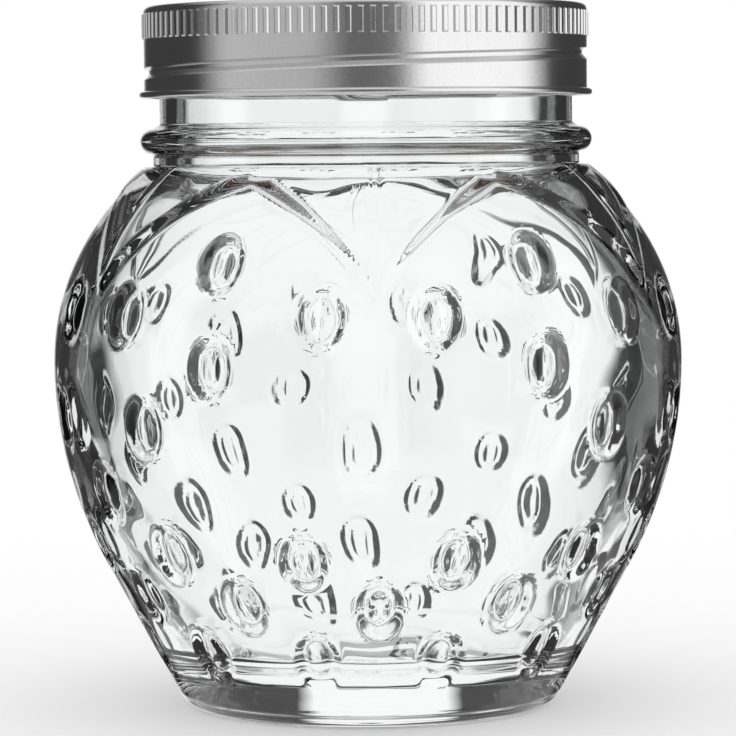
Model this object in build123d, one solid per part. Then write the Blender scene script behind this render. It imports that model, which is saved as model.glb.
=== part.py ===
from build123d import *
import os
from math import asin, atan2, cos, degrees, pi, radians, sin, sqrt, tan

# Driving dimensions, millimetres
belly_r = 51.8
belly_z = 57.0
lower_arc = 70.0
upper_arc = 39.4
cone_angle = 28.5
wall = 4.2
heel_fillet = 4.0
inner_heel_fillet = 9.0
floor_z = 8.0
foot_r = 24.0
push_up = 2.2
collar_r = 35.1
bead_z = 93.2
bead_radius = 2.1
neck_r = 34.0
mouth_r = 31.3
rim_z = 113.5
rim_round = 0.8

# Thread, shared by the neck and the band
lead = 6.2
groove_z0 = 101.3
thread_tube = 1.3
thread_crest_r = 35.8
thread_rise = 1.85
neck_thread = (-100.0, 380.0)
band_thread = (100.0, 435.0)

# Seeds: (height, count, first angle); angles from the front, going left to right
seed_rows = [
    (11.7, 12, 15), (20.6, 12, 0), (28.2, 12, 15), (37.5, 12, 0),
    (48.5, 12, 15), (58.5, 6, 30), (66.3, 6, 10), (66.3, 6, 50), (74.4, 6, 30),
]
seed_half_wide = 4.0
seed_half_long = 5.7
seed_deep = 1.1
kernel_half_wide = 1.75
kernel_half_long = 3.5
# The plain panel at the front, kept free of seeds
panel_z = (33.0, 54.0)
panel_half_angle = 35.0

# Calyx
sepals = 6
sepal_tip_r = 49.6
sepal_notch_r = 37.6
sepal_bulge = 1.6
sepal_height = 0.8

# Lid
side_clear = 0.3
sheet = 0.35
band_top_z = 115.3
band_low_z = 100.25
band_corner = 1.0
curl_radius = 0.6
band_hole_r = 30.8
groove_depth = 0.8
groove_up = 0.9
groove_down = 1.6
knurl_count = 120
knurl_z = (109.9, 114.1)
knurl_proud = 0.3
disc_r = 35.4
seal_thick = 1.1
panel_drop = 1.0
dome_rise = 0.6

# Sizes that follow
band_in_r = thread_crest_r + side_clear
band_out_r = band_in_r + sheet
disc_top = band_top_z - sheet
disc_low = rim_z + seal_thick
turn = 2 * pi
cone_sin = sin(radians(cone_angle))
cone_cos = cos(radians(cone_angle))


def body_points(inset):
    """Cone foot, cone top, equator and shoulder end of the body, set in by a wall."""
    low = lower_arc - inset
    up = upper_arc - inset
    low_c = belly_r - lower_arc
    up_c = belly_r - upper_arc
    end_r = mouth_r if inset > 0 else collar_r
    top = (low_c + low * cone_cos, belly_z - low * cone_sin)
    foot_z = floor_z if inset > 0 else 0.0
    foot = (top[0] - (top[1] - foot_z) * cone_sin / cone_cos, foot_z)
    shoulder = (end_r, belly_z + sqrt(up**2 - (end_r - up_c) ** 2))
    half = radians(cone_angle / 2)
    low_mid = (low_c + low * cos(half), belly_z - low * sin(half))
    tilt = asin((shoulder[1] - belly_z) / up) / 2
    up_mid = (up_c + up * cos(tilt), belly_z + up * sin(tilt))
    return foot, top, low_mid, (belly_r - inset, belly_z), up_mid, shoulder


def surface(z):
    """Radius and outward slope angle of the body at a height."""
    if z >= belly_z:
        lean = asin((z - belly_z) / upper_arc)
        return belly_r - upper_arc * (1 - cos(lean)), lean
    lean = asin(min((belly_z - z) / lower_arc, cone_sin))
    top_z = belly_z - lower_arc * cone_sin
    radius = belly_r - lower_arc * (1 - cos(lean))
    if z < top_z:
        radius -= (top_z - z) * tan(lean)
    return radius, -lean


def helix(radius, span, rise):
    """Right-hand helix between two angles, measured from the right-hand side."""
    low = groove_z0 + rise + lead * span[0] / 360
    height = lead * (span[1] - span[0]) / 360
    curve = Edge.make_helix(lead, height, radius)
    return Pos(0, 0, low) * Rot(0, 0, span[0]) * curve


def section_plane(curve):
    """Plane square to a helix at its start, with x outward from the axis and y upward."""
    start = curve @ 0
    return Plane(origin=start, x_dir=Vector(start.X, start.Y, 0), z_dir=(curve % 0) * -1)


def blank():
    """Jar of revolution: foot, body, collar, bead, neck and rim, with its inside."""
    foot, top, low_mid, belly, up_mid, shoulder = body_points(0)
    i_foot, i_top, i_low_mid, i_belly, i_up_mid, i_shoulder = body_points(wall)
    bead_low = (collar_r, bead_z - bead_radius)
    bead_out = (collar_r + bead_radius, bead_z)
    bead_top = (collar_r, bead_z + bead_radius)
    edges = [
        ThreePointArc((0, push_up), (foot_r / 2, 0.75 * push_up), (foot_r, 0)),
        Polyline((foot_r, 0), foot, top),
        ThreePointArc(top, low_mid, belly),
        ThreePointArc(belly, up_mid, shoulder),
        Line(shoulder, bead_low),
        ThreePointArc(bead_low, bead_out, bead_top),
        Polyline(bead_top, (neck_r, bead_top[1] + 0.7), (neck_r, rim_z - rim_round)),
        Line((neck_r, rim_z - rim_round), (neck_r - rim_round, rim_z)),
        Line((neck_r - rim_round, rim_z), (mouth_r + rim_round, rim_z)),
        Line((mouth_r + rim_round, rim_z), (mouth_r, rim_z - rim_round)),
        Line((mouth_r, rim_z - rim_round), i_shoulder),
        ThreePointArc(i_shoulder, i_up_mid, i_belly),
        ThreePointArc(i_belly, i_low_mid, i_top),
        Polyline(i_top, i_foot, (0, floor_z), (0, push_up)),
    ]
    face = make_face(edges)
    heel = face.vertices().sort_by_distance(foot)[0]
    face = fillet(heel, heel_fillet)
    inner = face.vertices().sort_by_distance(i_foot)[0]
    face = fillet(inner, inner_heel_fillet)
    return revolve(Plane.XZ * face, Axis.Z)


def calyx():
    """Raised star of pointed leaves over the shoulder."""
    up = upper_arc + sepal_height
    up_c = belly_r - upper_arc
    low_r = collar_r - 1.0
    high = belly_z + sqrt(up**2 - (low_r - up_c) ** 2)
    mid = up_c + up * cos(radians(30)), belly_z + up * sin(radians(30))
    start = up_c + up, belly_z
    edges = [
        ThreePointArc(start, mid, (low_r, high)),
        Polyline((low_r, high), (low_r, belly_z), start),
    ]
    cap = revolve(Plane.XZ * make_face(edges), Axis.Z)
    core = revolve(Plane.XZ * make_face(core_edges()), Axis.Z)
    return (cap & star()) - core


def core_edges():
    """Inside of the calyx shell, sunk into the glass so that the two join."""
    up = upper_arc - wall / 2
    up_c = belly_r - upper_arc
    high = belly_z + sqrt(up**2 - up_c**2) if up > up_c else belly_z + up
    mid = up_c + up * cos(radians(40)), belly_z + up * sin(radians(40))
    end = up_c, belly_z + up
    return [
        ThreePointArc((up_c + up, belly_z), mid, end),
        Polyline(end, (0, end[1]), (0, belly_z - 1), (up_c + up, belly_z - 1), (up_c + up, belly_z)),
    ]


def star():
    """Six-pointed outline seen from above, one tip to the front, edges a little full."""
    edges = []
    for i in range(sepals):
        tip = polar(sepal_tip_r, 360 * i / sepals)
        for side in (-1, 1):
            notch = polar(sepal_notch_r, 360 * i / sepals + side * 180 / sepals)
            mid = (tip + notch) / 2
            edges.append(ThreePointArc(tip, mid + mid.normalized() * sepal_bulge, notch))
    face = make_face(edges)
    return Pos(0, 0, belly_z) * extrude(face, 60)


def polar(radius, angle):
    """Point at an angle from the front, positive to the right."""
    return Vector(radius * sin(radians(angle)), -radius * cos(radians(angle)))


def lens(half_wide, half_long, deep, lift):
    """Lens with its long axis on x, sunk to a depth below z 0 and cut off at a lift above."""
    reach = (half_wide**2 + deep**2) / (2 * deep)
    bow = (half_long**2 + deep**2) / (2 * deep)
    axis_z = reach - deep
    end = sqrt(bow**2 - (bow - reach) ** 2) if bow > reach else bow
    edges = [
        ThreePointArc((-end, 0), (0, -reach), (end, 0)),
        Line((end, 0), (-end, 0)),
    ]
    spindle = revolve(Plane.XZ * make_face(edges), Axis.X)
    block = Box(4 * half_long, 4 * half_wide, deep + lift + 1)
    block = Pos(0, 0, lift - (deep + lift + 1) / 2) * block
    return (Pos(0, 0, axis_z) * spindle) & block


def kernel():
    """Seed standing on the floor of its dimple, below the surface of the body."""
    bow = (kernel_half_long**2 + kernel_half_wide**2) / (2 * kernel_half_wide)
    edges = [
        ThreePointArc((-kernel_half_long, 0), (0, kernel_half_wide), (kernel_half_long, 0)),
        Line((kernel_half_long, 0), (-kernel_half_long, 0)),
    ]
    spindle = revolve(Plane.XZ * make_face(edges), Axis.X)
    return Pos(0, 0, -seed_deep - kernel_half_wide * 0.5) * spindle


def seed_cutters():
    """One dimple cutter per seed, in staggered rows, none on the front panel."""
    tool = lens(seed_half_wide, seed_half_long, seed_deep, 0.6) - kernel()
    cutters = []
    for z, count, first in seed_rows:
        radius, lean = surface(z)
        for i in range(count):
            angle = first + 360 * i / count
            off = abs((angle + 180) % 360 - 180)
            if panel_z[0] < z < panel_z[1] and off < panel_half_angle:
                continue
            out = polar(1, angle)
            normal = out * cos(lean) + Vector(0, 0, sin(lean))
            along = out * -sin(lean) + Vector(0, 0, cos(lean))
            spot = out * radius + Vector(0, 0, z)
            cutters.append(Plane(origin=spot, x_dir=along, z_dir=normal) * tool)
    return cutters


def neck_ridge():
    """Rounded glass thread with ball ends."""
    radius = thread_crest_r - thread_tube
    curve = helix(radius, neck_thread, thread_rise)
    tube = sweep(section_plane(curve) * Circle(thread_tube), path=curve, is_frenet=True)
    ball = Sphere(thread_tube)
    return [tube, Pos(curve @ 0) * ball, Pos(curve @ 1) * ball]


def glass_jar():
    jar = blank() + [calyx()] + neck_ridge()
    bore = Pos(0, 0, rim_z - 10) * Cylinder(mouth_r, 24)
    return (jar - ([bore] + seed_cutters())).solid()


def band_shell():
    """Top flange, corner, wall and rolled lower edge, in one section."""
    out_arc = band_corner
    in_arc = band_corner - sheet
    k = sin(radians(45))
    curl_z = band_low_z + curl_radius
    curl_join = sqrt(curl_radius**2 - (sheet - curl_radius) ** 2)
    edges = [
        Line((band_hole_r, disc_top), (band_hole_r, band_top_z)),
        Line((band_hole_r, band_top_z), (band_out_r - out_arc, band_top_z)),
        ThreePointArc(
            (band_out_r - out_arc, band_top_z),
            (band_out_r - out_arc * (1 - k), band_top_z - out_arc * (1 - k)),
            (band_out_r, band_top_z - out_arc),
        ),
        Line((band_out_r, band_top_z - out_arc), (band_out_r, curl_z + curl_join)),
        ThreePointArc(
            (band_out_r, curl_z + curl_join),
            (band_in_r + 2 * curl_radius, curl_z),
            (band_in_r, curl_z),
        ),
        Line((band_in_r, curl_z), (band_in_r, disc_top - in_arc)),
        ThreePointArc(
            (band_in_r, disc_top - in_arc),
            (band_in_r - in_arc * (1 - k), disc_top - in_arc * (1 - k)),
            (band_in_r - in_arc, disc_top),
        ),
        Line((band_in_r - in_arc, disc_top), (band_hole_r, disc_top)),
    ]
    return revolve(Plane.XZ * make_face(edges), Axis.Z)


def band_groove(reach, depth, grow, span):
    """Solid that follows the thread: steep flank above, gentle flank below."""
    curve = helix(band_out_r, span, 0)
    flat = 0.3
    shape = Polyline(
        (reach, groove_up + grow), (-depth, flat), (-depth, -flat), (reach, -groove_down - grow),
        close=True,
    )
    return sweep(section_plane(curve) * make_face(shape), path=curve, is_frenet=True)


def knurl():
    """Short upright ribs round the top of the wall."""
    tall = knurl_z[1] - knurl_z[0]
    rib = Box(2 * knurl_proud, 1.0, tall)
    outer = rib.faces().sort_by(Axis.X)[-1]
    rib = chamfer(outer.edges(), 0.22)
    rib = Pos(band_out_r, 0, (knurl_z[0] + knurl_z[1]) / 2) * rib
    return [Rot(0, 0, 360 * i / knurl_count) * rib for i in range(knurl_count)]


def screw_band():
    shell = band_shell()
    end = degrees(sheet / band_in_r)
    wide = (band_thread[0] - end, band_thread[1] + end)
    ridge = band_groove(-sheet / 2, groove_depth + sheet, sheet, wide)
    band = shell + ridge
    band = band - band_groove(sheet, groove_depth, 0, band_thread)
    band = band + knurl()
    return band.solid()


def lid_disc():
    """Pressed disc: flat edge, stepped panel and a slight dome."""
    edge_in = band_hole_r - 1.4
    floor = disc_low - panel_drop
    step = 1.2
    dome_r = edge_in * 0.55
    face = make_face(Polyline(
        (0, floor + dome_rise), (dome_r, floor + dome_rise), (dome_r + step, floor),
        (edge_in - step, floor), (edge_in, disc_low), (disc_r, disc_low),
        (disc_r, disc_top), (edge_in - 0.1, disc_top), (edge_in - step - 0.1, floor + sheet),
        (dome_r + step + 0.1, floor + sheet), (dome_r + 0.1, floor + dome_rise + sheet),
        (0, floor + dome_rise + sheet), close=True,
    ))
    return revolve(Plane.XZ * face, Axis.Z).solid()


def sealing_ring():
    """Soft compound ring between the disc and the glass rim."""
    outer = neck_r + 0.6
    inner = mouth_r - 0.2
    ring = Cylinder(outer, seal_thick) - Cylinder(inner, seal_thick)
    return (Pos(0, 0, rim_z + seal_thick / 2) * ring).solid()


os.makedirs("parts", exist_ok=True)
export_step(screw_band(), "parts/screw_band.step")
export_step(lid_disc(), "parts/lid_disc.step")
export_step(sealing_ring(), "parts/sealing_ring.step")
export_step(glass_jar(), "parts/glass_jar.step")
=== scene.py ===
import bpy
import math
import numpy as np
from mathutils import Matrix, Vector


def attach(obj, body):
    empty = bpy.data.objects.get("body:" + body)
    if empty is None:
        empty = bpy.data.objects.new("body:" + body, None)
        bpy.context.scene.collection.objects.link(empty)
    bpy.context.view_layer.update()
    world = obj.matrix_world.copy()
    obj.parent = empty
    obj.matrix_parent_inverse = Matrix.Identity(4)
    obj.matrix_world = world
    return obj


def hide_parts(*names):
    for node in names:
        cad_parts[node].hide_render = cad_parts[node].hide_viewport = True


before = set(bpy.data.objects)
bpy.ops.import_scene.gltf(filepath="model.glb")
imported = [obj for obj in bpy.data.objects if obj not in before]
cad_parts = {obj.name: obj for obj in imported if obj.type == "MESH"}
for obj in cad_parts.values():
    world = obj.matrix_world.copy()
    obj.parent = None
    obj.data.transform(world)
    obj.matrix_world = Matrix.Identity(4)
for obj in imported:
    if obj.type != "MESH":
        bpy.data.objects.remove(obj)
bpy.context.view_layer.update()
MM = 0.001

# Jar sizes, millimetres, as in the solid
BELLY_R = 51.8
BELLY_Z = 57.0
LOW_ARC = 70.0
UP_ARC = 39.4
CONE = math.radians(28.5)
CONE_FOOT_R = 30.5
HEEL = 4.0
WALL = 4.2
COLLAR_R = 35.1
COLLAR_Z = 89.4
BEAD_Z = 93.2
BEAD_RAD = 2.1
BEAD_TAPER = 0.7
NECK_R = 34.0
NECK_Z = 96.1
MOUTH_R = 31.3
MOUTH_LOW_Z = 88.0
RIM_Z = 113.5
RIM_ROUND = 0.9
FLOOR_Z = 8.0
FLOOR_R = 25.5
FLOOR_ROUND = 5.5
FOOT_R = 24.0
PUSH_UP = 2.2

# Glass thread; angles in degrees from the right-hand side
LEAD = 6.2
THREAD_Z0 = 103.15
THREAD_SPAN = (-100.0, 380.0)
THREAD_FADE = 14.0
THREAD_TUBE = 1.3
CREST_R = 35.8

# Seeds: height, count and first angle of each row, in degrees from the front
SEED_ROWS = [
    (11.7, 12, 15), (20.6, 12, 0), (28.2, 12, 15), (37.5, 12, 0),
    (48.5, 12, 15), (58.5, 6, 30), (66.3, 6, 10), (66.3, 6, 50), (74.4, 6, 30),
]
SEED_HALF = (4.0, 5.7)
SEED_DEEP = 1.05
KERNEL_HALF = (1.85, 3.4)
KERNEL_TALL = 0.85
PANEL_Z = (33, 54)
PANEL_HALF_ANGLE = 35

# Leaves of the collar, seen from above
LEAVES = 6
TIP_R = 49.6
NOTCH_R = 37.6
LEAF_BULGE = 1.6
LEAF_TALL = 0.8
LEAF_EDGE = 2.4
RIB_DEEP = 0.4
RIB_HALF = 0.55

# Waves of the moulded inside: height, turns round the jar, slope along it
WAVES = ((0.1, 3, 0.11), (0.08, 7, -0.21), (0.05, 11, 0.33))
COLUMNS = 402


def arc(cx, cz, rad, a0, a1, n):
    a = np.radians(np.linspace(a0, a1, n))
    return np.stack([cx + rad * np.cos(a), cz + rad * np.sin(a)], 1)


def line(p, q, n):
    t = np.linspace(0, 1, n)[:, None]
    return np.array(p) * (1 - t) + np.array(q) * t


def body_run(inset, end_r, foot_z, n_cone, n_low, n_up):
    """Cone, belly and shoulder of the body, set in by a wall."""
    low, up = LOW_ARC - inset, UP_ARC - inset
    lc, uc = BELLY_R - LOW_ARC, BELLY_R - UP_ARC
    top = (lc + low * math.cos(CONE), BELLY_Z - low * math.sin(CONE))
    foot = (top[0] - (top[1] - foot_z) * math.tan(CONE), foot_z)
    end = math.degrees(math.acos((end_r - uc) / up))
    return [
        line(foot, top, n_cone)[:-1],
        arc(lc, BELLY_Z, low, -math.degrees(CONE), 0, n_low)[:-1],
        arc(uc, BELLY_Z, up, 0, end, n_up),
    ]


def joined(runs):
    pts = np.concatenate(runs)
    keep = np.r_[True, np.linalg.norm(np.diff(pts, axis=0), axis=1) > 1e-4]
    return pts[keep]


def profile():
    """Section of the glass in two runs: underside to rim, and rim to inside floor."""
    heel_r = CONE_FOOT_R - HEEL * math.tan((math.pi / 2 - CONE) / 2)
    cone_z = HEEL - HEEL * math.sin(CONE)
    bead_top = BEAD_Z + BEAD_RAD
    under = [[r, PUSH_UP * (1 - (r / FOOT_R) ** 2)] for r in np.linspace(0.02, FOOT_R, 9)]
    outside = joined([
        np.array(under),
        line((FOOT_R, 0), (heel_r, 0), 4),
        arc(heel_r, HEEL, HEEL, -90, -math.degrees(CONE), 9),
        *body_run(0, COLLAR_R, cone_z, 34, 46, 56),
        line((COLLAR_R, COLLAR_Z), (COLLAR_R, BEAD_Z - BEAD_RAD), 4),
        arc(COLLAR_R, BEAD_Z, BEAD_RAD, -90, 90, 15),
        line((COLLAR_R, bead_top), (NECK_R, bead_top + BEAD_TAPER), 3),
        line((NECK_R, NECK_Z), (NECK_R, RIM_Z - RIM_ROUND), 32),
        arc(NECK_R - RIM_ROUND, RIM_Z - RIM_ROUND, RIM_ROUND, 0, 90, 5),
    ])
    body = joined(body_run(WALL, MOUTH_R, FLOOR_Z + 3.2, 12, 14, 16))
    middle = [[r, FLOOR_Z + 0.5 * (1 - r / 25.0) ** 2] for r in np.linspace(24.0, 0.02, 9)]
    inside = joined([
        arc(MOUTH_R + RIM_ROUND, RIM_Z - RIM_ROUND, RIM_ROUND, 90, 180, 5),
        line((MOUTH_R, RIM_Z - 1.2), (MOUTH_R, MOUTH_LOW_Z), 12),
        body[::-1],
        arc(FLOOR_R, FLOOR_Z + FLOOR_ROUND, FLOOR_ROUND, -20, -90, 7),
        np.array(middle),
    ])
    return outside, inside


def star_edge(phi):
    """Radius of the leaf edge, seen from above, at an angle from the nearest leaf tip."""
    t = np.linspace(0, 1, 40)
    tip = np.array([TIP_R, 0.0])
    half = math.pi / LEAVES
    notch = NOTCH_R * np.array([math.cos(half), math.sin(half)])
    p = tip * (1 - t)[:, None] + notch * t[:, None]
    unit = p / np.linalg.norm(p, axis=1)[:, None]
    p = p + unit * (4 * LEAF_BULGE * t * (1 - t))[:, None]
    return np.interp(phi, np.arctan2(p[:, 1], p[:, 0]), np.linalg.norm(p, axis=1))


def step(x):
    """Smooth step from 0 to 1."""
    x = np.clip(x, 0, 1)
    return x * x * (3 - 2 * x)


def relief(theta, r, z, lean):
    """Height of leaves and seeds over the plain body; theta is from the front, to the right."""
    h = np.zeros_like(theta)
    half = math.pi / LEAVES
    phi = np.abs((theta + half) % (2 * half) - half)
    inside = (star_edge(phi) - r) / np.maximum(np.abs(np.sin(lean)), 0.35)
    leaf = step(inside / LEAF_EDGE + 0.5) * (z > 62) * step((89.2 - z) / 0.8)
    h += LEAF_TALL * leaf
    h -= RIB_DEEP * np.exp(-((phi * r) / RIB_HALF) ** 2) * leaf * step(inside / 3)
    for seed_z, count, first in SEED_ROWS:
        near = np.abs(z - seed_z) < 8
        for i in range(count):
            angle = first + 360 * i / count
            off = abs((angle + 180) % 360 - 180)
            if PANEL_Z[0] < seed_z < PANEL_Z[1] and off < PANEL_HALF_ANGLE:
                continue
            across = ((theta - math.radians(angle) + math.pi) % (2 * math.pi) - math.pi) * r
            along = (z - seed_z) / np.maximum(np.cos(lean), 0.4)
            oval = (across / SEED_HALF[0]) ** 2 + (along / SEED_HALF[1]) ** 2
            core = (across / KERNEL_HALF[0]) ** 2 + (along / KERNEL_HALF[1]) ** 2
            dip = KERNEL_TALL * np.sqrt(np.clip(1 - core, 0, 1)) - SEED_DEEP * step((1 - oval) / 0.75)
            h += np.where(near & (oval < 1), dip, 0)
    return h


def thread(theta_right, z):
    """Height of the rounded thread over the neck."""
    h = np.zeros_like(z)
    for turn in (-1, 0, 1):
        a = np.degrees(theta_right) + 360 * turn
        fade = step((a - THREAD_SPAN[0]) / THREAD_FADE) * step((THREAD_SPAN[1] - a) / THREAD_FADE)
        dz = z - (THREAD_Z0 + LEAD * a / 360)
        bump = np.sqrt(np.clip(THREAD_TUBE**2 - dz**2, 0, None)) + (CREST_R - THREAD_TUBE - NECK_R)
        h = np.maximum(h, np.clip(bump, 0, None) * fade * (np.abs(dz) < THREAD_TUBE))
    return h


def jar_mesh():
    """The glass as one smooth mesh, by turning the section and adding its relief."""
    outside, inside = profile()
    pts = np.concatenate([outside, inside])
    tan = np.gradient(pts, axis=0)
    tan /= np.linalg.norm(tan, axis=1)[:, None]
    n = np.stack([tan[:, 1], -tan[:, 0]], 1)
    ang = 2 * math.pi * np.arange(COLUMNS) / COLUMNS
    T, R = np.meshgrid(ang, pts[:, 0])
    Z = np.repeat(pts[:, 1:2], COLUMNS, 1)
    NR, NZ = np.repeat(n[:, :1], COLUMNS, 1), np.repeat(n[:, 1:], COLUMNS, 1)
    H = np.zeros_like(T)
    rows = np.arange(len(pts))
    body = (rows < len(outside)) & (pts[:, 1] > 4) & (pts[:, 1] < 89.3) & (pts[:, 0] > 30)
    lean = np.arcsin(np.clip(NZ, -1, 1))
    H[body] = relief(T[body], R[body], Z[body], lean[body])
    neck = (rows < len(outside)) & (pts[:, 1] > 96) & (pts[:, 1] < RIM_Z - RIM_ROUND)
    right = (T[neck] - math.pi / 2 + math.pi) % (2 * math.pi) - math.pi
    H[neck] = thread(right, Z[neck])
    # The inside is left plain at the rim and on the floor
    deep = rows >= len(outside) + 20
    t, z = T[deep], Z[deep]
    for size, across, along in WAVES:
        H[deep] += size * np.sin(across * t + along * z + 2.1 * np.sin(0.07 * z + 2 * t))
    H[-9:] = 0
    R = R + NR * H
    Z = Z + NZ * H
    co = np.stack([R * np.sin(T), -R * np.cos(T), Z], 2).reshape(-1, 3) * MM
    m, c = len(pts), COLUMNS
    i, j = np.meshgrid(np.arange(m - 1), np.arange(c), indexing="ij")
    j2 = (j + 1) % c
    quads = np.stack([i * c + j, i * c + j2, (i + 1) * c + j2, (i + 1) * c + j], 2).reshape(-1, 4)
    faces = quads.tolist()
    faces.append(list(range(c))[::-1])
    faces.append([(m - 1) * c + k for k in range(c)])
    me = bpy.data.meshes.new("jar_glass")
    me.from_pydata(co.tolist(), [], faces)
    me.update()
    me.polygons.foreach_set("use_smooth", [True] * len(me.polygons))
    ob = bpy.data.objects.new("jar_glass", me)
    bpy.context.scene.collection.objects.link(ob)
    return ob


class Nodes:
    """Small helper for node trees."""

    def __init__(self, tree):
        self.tree = tree
        tree.nodes.clear()

    def add(self, kind, inputs=None, **props):
        node = self.tree.nodes.new(kind)
        for key, value in props.items():
            setattr(node, key, value)
        for key, value in (inputs or {}).items():
            if isinstance(value, bpy.types.NodeSocket):
                self.tree.links.new(value, node.inputs[key])
            else:
                node.inputs[key].default_value = value
        return node

    def math(self, op, a, b=0.0, c=0.0):
        return self.add("ShaderNodeMath", {0: a, 1: b, 2: c}, operation=op).outputs[0]

    def ramp(self, fac, stops):
        node = self.add("ShaderNodeValToRGB", {"Fac": fac})
        while len(node.color_ramp.elements) < len(stops):
            node.color_ramp.elements.new(0.5)
        for el, (pos, v) in zip(node.color_ramp.elements, stops):
            el.position = pos
            el.color = (v, v, v, 1) if isinstance(v, (int, float)) else (*v, 1)
        return node.outputs["Color"]

    def mix(self, fac, a, b):
        node = self.add("ShaderNodeMix", data_type="RGBA")
        for idx, value in ((0, fac), (6, a), (7, b)):
            if isinstance(value, bpy.types.NodeSocket):
                self.tree.links.new(value, node.inputs[idx])
            else:
                node.inputs[idx].default_value = value
        return node.outputs[2]


def material(name):
    mat = bpy.data.materials.new(name)
    mat.use_nodes = True
    return mat, Nodes(mat.node_tree)


def surface_out(n, shader):
    n.add("ShaderNodeOutputMaterial", {"Surface": shader.outputs[0]})


def glass():
    mat, n = material("clear_glass")
    pos = n.add("ShaderNodeTexCoord").outputs["Object"]
    slow = n.add("ShaderNodeTexNoise", {"Vector": pos, "Scale": 60.0, "Detail": 2.0}).outputs[0]
    bump = n.add("ShaderNodeBump", {"Height": slow, "Strength": 0.12, "Distance": 0.0006}).outputs[0]
    tint = n.ramp(slow, [(0.3, (0.975, 0.985, 0.985)), (0.7, (0.99, 0.995, 0.995))])
    shader = n.add("ShaderNodeBsdfPrincipled", {
        "Base Color": tint, "Roughness": 0.0, "IOR": 1.5, "Transmission Weight": 1.0, "Normal": bump})
    surface_out(n, shader)
    return mat


def tinplate(name, low, high):
    mat, n = material(name)
    pos = n.add("ShaderNodeTexCoord").outputs["Object"]
    grain = n.add("ShaderNodeTexNoise", {"Vector": pos, "Scale": 2600.0, "Detail": 3.0}).outputs[0]
    cloud = n.add("ShaderNodeTexNoise", {"Vector": pos, "Scale": 90.0, "Detail": 4.0}).outputs[0]
    mixed = n.math("MULTIPLY_ADD", grain, 0.5, n.math("MULTIPLY", cloud, 0.5))
    tone = n.ramp(mixed, [(0.3, (low, low, low)), (0.7, (high, high, high))])
    rough = n.math("MULTIPLY_ADD", mixed, 0.14, 0.11)
    bump = n.add("ShaderNodeBump", {"Height": grain, "Strength": 0.1, "Distance": 0.0001}).outputs[0]
    shader = n.add("ShaderNodeBsdfPrincipled", {
        "Base Color": tone, "Metallic": 1.0, "Roughness": rough, "Normal": bump})
    surface_out(n, shader)
    return mat


def compound():
    mat, n = material("seal_compound")
    pos = n.add("ShaderNodeTexCoord").outputs["Object"]
    speck = n.add("ShaderNodeTexNoise", {"Vector": pos, "Scale": 900.0, "Detail": 3.0}).outputs[0]
    tone = n.ramp(speck, [(0.35, (0.62, 0.22, 0.13)), (0.65, (0.72, 0.3, 0.19))])
    bump = n.add("ShaderNodeBump", {"Height": speck, "Strength": 0.2, "Distance": 0.0001}).outputs[0]
    shader = n.add("ShaderNodeBsdfPrincipled", {"Base Color": tone, "Roughness": 0.55, "Normal": bump})
    surface_out(n, shader)
    return mat


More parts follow.
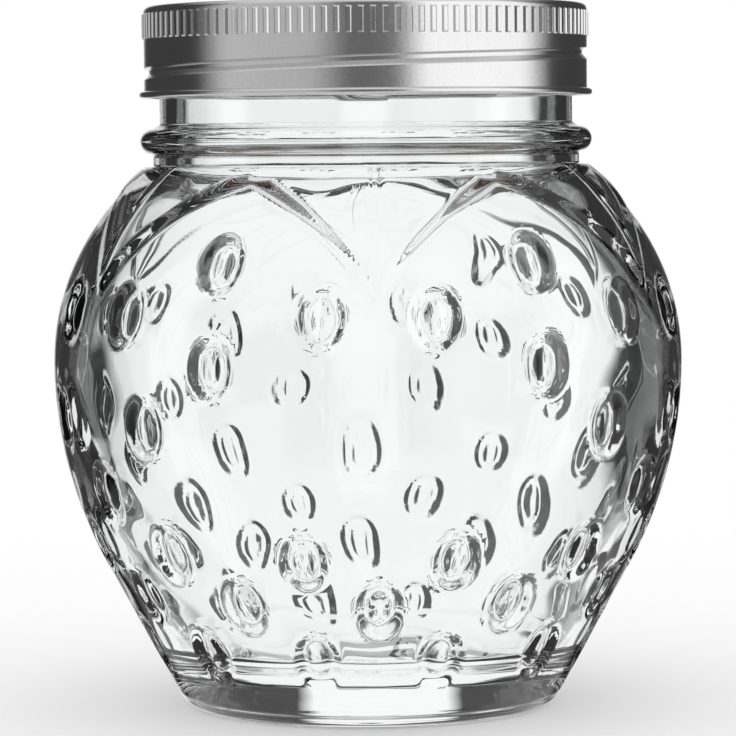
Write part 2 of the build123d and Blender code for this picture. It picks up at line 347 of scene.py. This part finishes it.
def studio():
    """White sweep for the camera; panels and dark sides for what glass and metal show."""
    world = bpy.data.worlds.new("studio")
    bpy.context.scene.world = world
    world.use_nodes = True
    n = Nodes(world.node_tree)
    way = n.add("ShaderNodeTexCoord").outputs["Generated"]
    xyz = n.add("ShaderNodeSeparateXYZ", {0: way}).outputs
    az = n.math("ARCTAN2", xyz[0], xyz[1])
    turn = n.math("MULTIPLY_ADD", az, 0.5 / math.pi, 0.5)
    up = n.math("MULTIPLY_ADD", n.math("ARCSINE", xyz[2]), 1 / math.pi, 0.5)
    quarter = n.math("MULTIPLY_ADD", n.math("COSINE", n.math("MULTIPLY", az, 4.0)), 0.5, 0.5)
    window = n.ramp(quarter, [(0.72, 0.03), (0.82, 1.0)])
    eighth = n.math("MULTIPLY_ADD", n.math("COSINE", n.math("MULTIPLY", az, 8.0)), 0.5, 0.5)
    below = n.ramp(up, [(0.435, 1.0), (0.442, 0.0)])
    window = n.mix(below, window, n.ramp(eighth, [(0.4, 0.05), (0.6, 1.0)]))
    low = n.ramp(up, [(0.36, 1.0), (0.39, 0.0)])
    high = n.ramp(up, [(0.68, 0.0), (0.80, 1.0)])
    through = n.mix(low, n.mix(high, window, (0.45, 0.45, 0.45, 1)), (0.97, 0.97, 0.97, 1))
    ring = n.ramp(turn, [
        (0.0, 0.16), (0.03, 0.16), (0.08, 0.55), (0.22, 0.62), (0.27, 0.05), (0.455, 0.05), (0.48, 1.0),
        (0.52, 1.0), (0.545, 0.05), (0.70, 0.05), (0.76, 1.25), (0.92, 1.25), (0.96, 0.2), (1.0, 0.16)])
    shine = n.mix(high, n.mix(low, ring, (0.7, 0.7, 0.7, 1)), (0.8, 0.8, 0.8, 1))
    ray = n.add("ShaderNodeLightPath").outputs
    plain = (1.0, 1.0, 1.0, 1)
    seen = n.mix(ray["Is Glossy Ray"], plain, shine)
    seen = n.mix(ray["Is Transmission Ray"], seen, through)
    seen = n.mix(ray["Is Camera Ray"], seen, plain)
    back = n.add("ShaderNodeBackground", {"Color": seen, "Strength": 1.0})
    n.add("ShaderNodeOutputWorld", {"Surface": back.outputs[0]})


def floor():
    me = bpy.data.meshes.new("floor")
    s = 6.0
    me.from_pydata([(-s, -s, 0), (s, -s, 0), (s, s, 0), (-s, s, 0)], [], [(0, 1, 2, 3)])
    ob = bpy.data.objects.new("floor", me)
    bpy.context.scene.collection.objects.link(ob)
    mat, n = material("floor")
    camera = n.add("ShaderNodeLightPath").outputs["Is Camera Ray"]
    glow = n.add("ShaderNodeEmission", {"Color": (1, 1, 1, 1), "Strength": n.math("MULTIPLY", camera, 0.3)})
    matt = n.add("ShaderNodeBsdfDiffuse", {"Color": (0.7, 0.7, 0.7, 1)})
    surface_out(n, n.add("ShaderNodeAddShader", {0: glow.outputs[0], 1: matt.outputs[0]}))
    me.materials.append(mat)
    ob.visible_transmission = False
    ob.visible_glossy = False


def camera():
    """The photo's camera: about 0.6 m away, level with the bead, looking slightly down."""
    far, eye, side = 602.0, 94.0, math.radians(2.0)
    pitch, roll = math.radians(3.66), math.radians(0.5)
    data = bpy.data.cameras.new("camera")
    data.lens = 178.1
    data.sensor_width = 36.0
    data.clip_start = 0.01
    cam = bpy.data.objects.new("camera", data)
    bpy.context.scene.collection.objects.link(cam)
    place = Matrix.Translation(Vector((-far * math.sin(side), -far * math.cos(side), eye)) * MM)
    turn = Matrix.Rotation(-side, 4, "Z") @ Matrix.Rotation(math.pi / 2 - pitch, 4, "X")
    cam.matrix_world = place @ turn @ Matrix.Rotation(-roll, 4, "Z")
    bpy.context.scene.camera = cam


def paint(node, mat):
    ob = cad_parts[node]
    ob.data.materials.clear()
    ob.data.materials.append(mat)


jar = jar_mesh()
jar.data.materials.append(glass())
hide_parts("glass_jar")
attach(jar, "jar")
paint("screw_band", tinplate("band_tinplate", 0.68, 0.78))
paint("lid_disc", tinplate("disc_tinplate", 0.70, 0.80))
paint("sealing_ring", compound())
studio()
floor()
camera()
bpy.context.scene.view_settings.view_transform = "Standard"
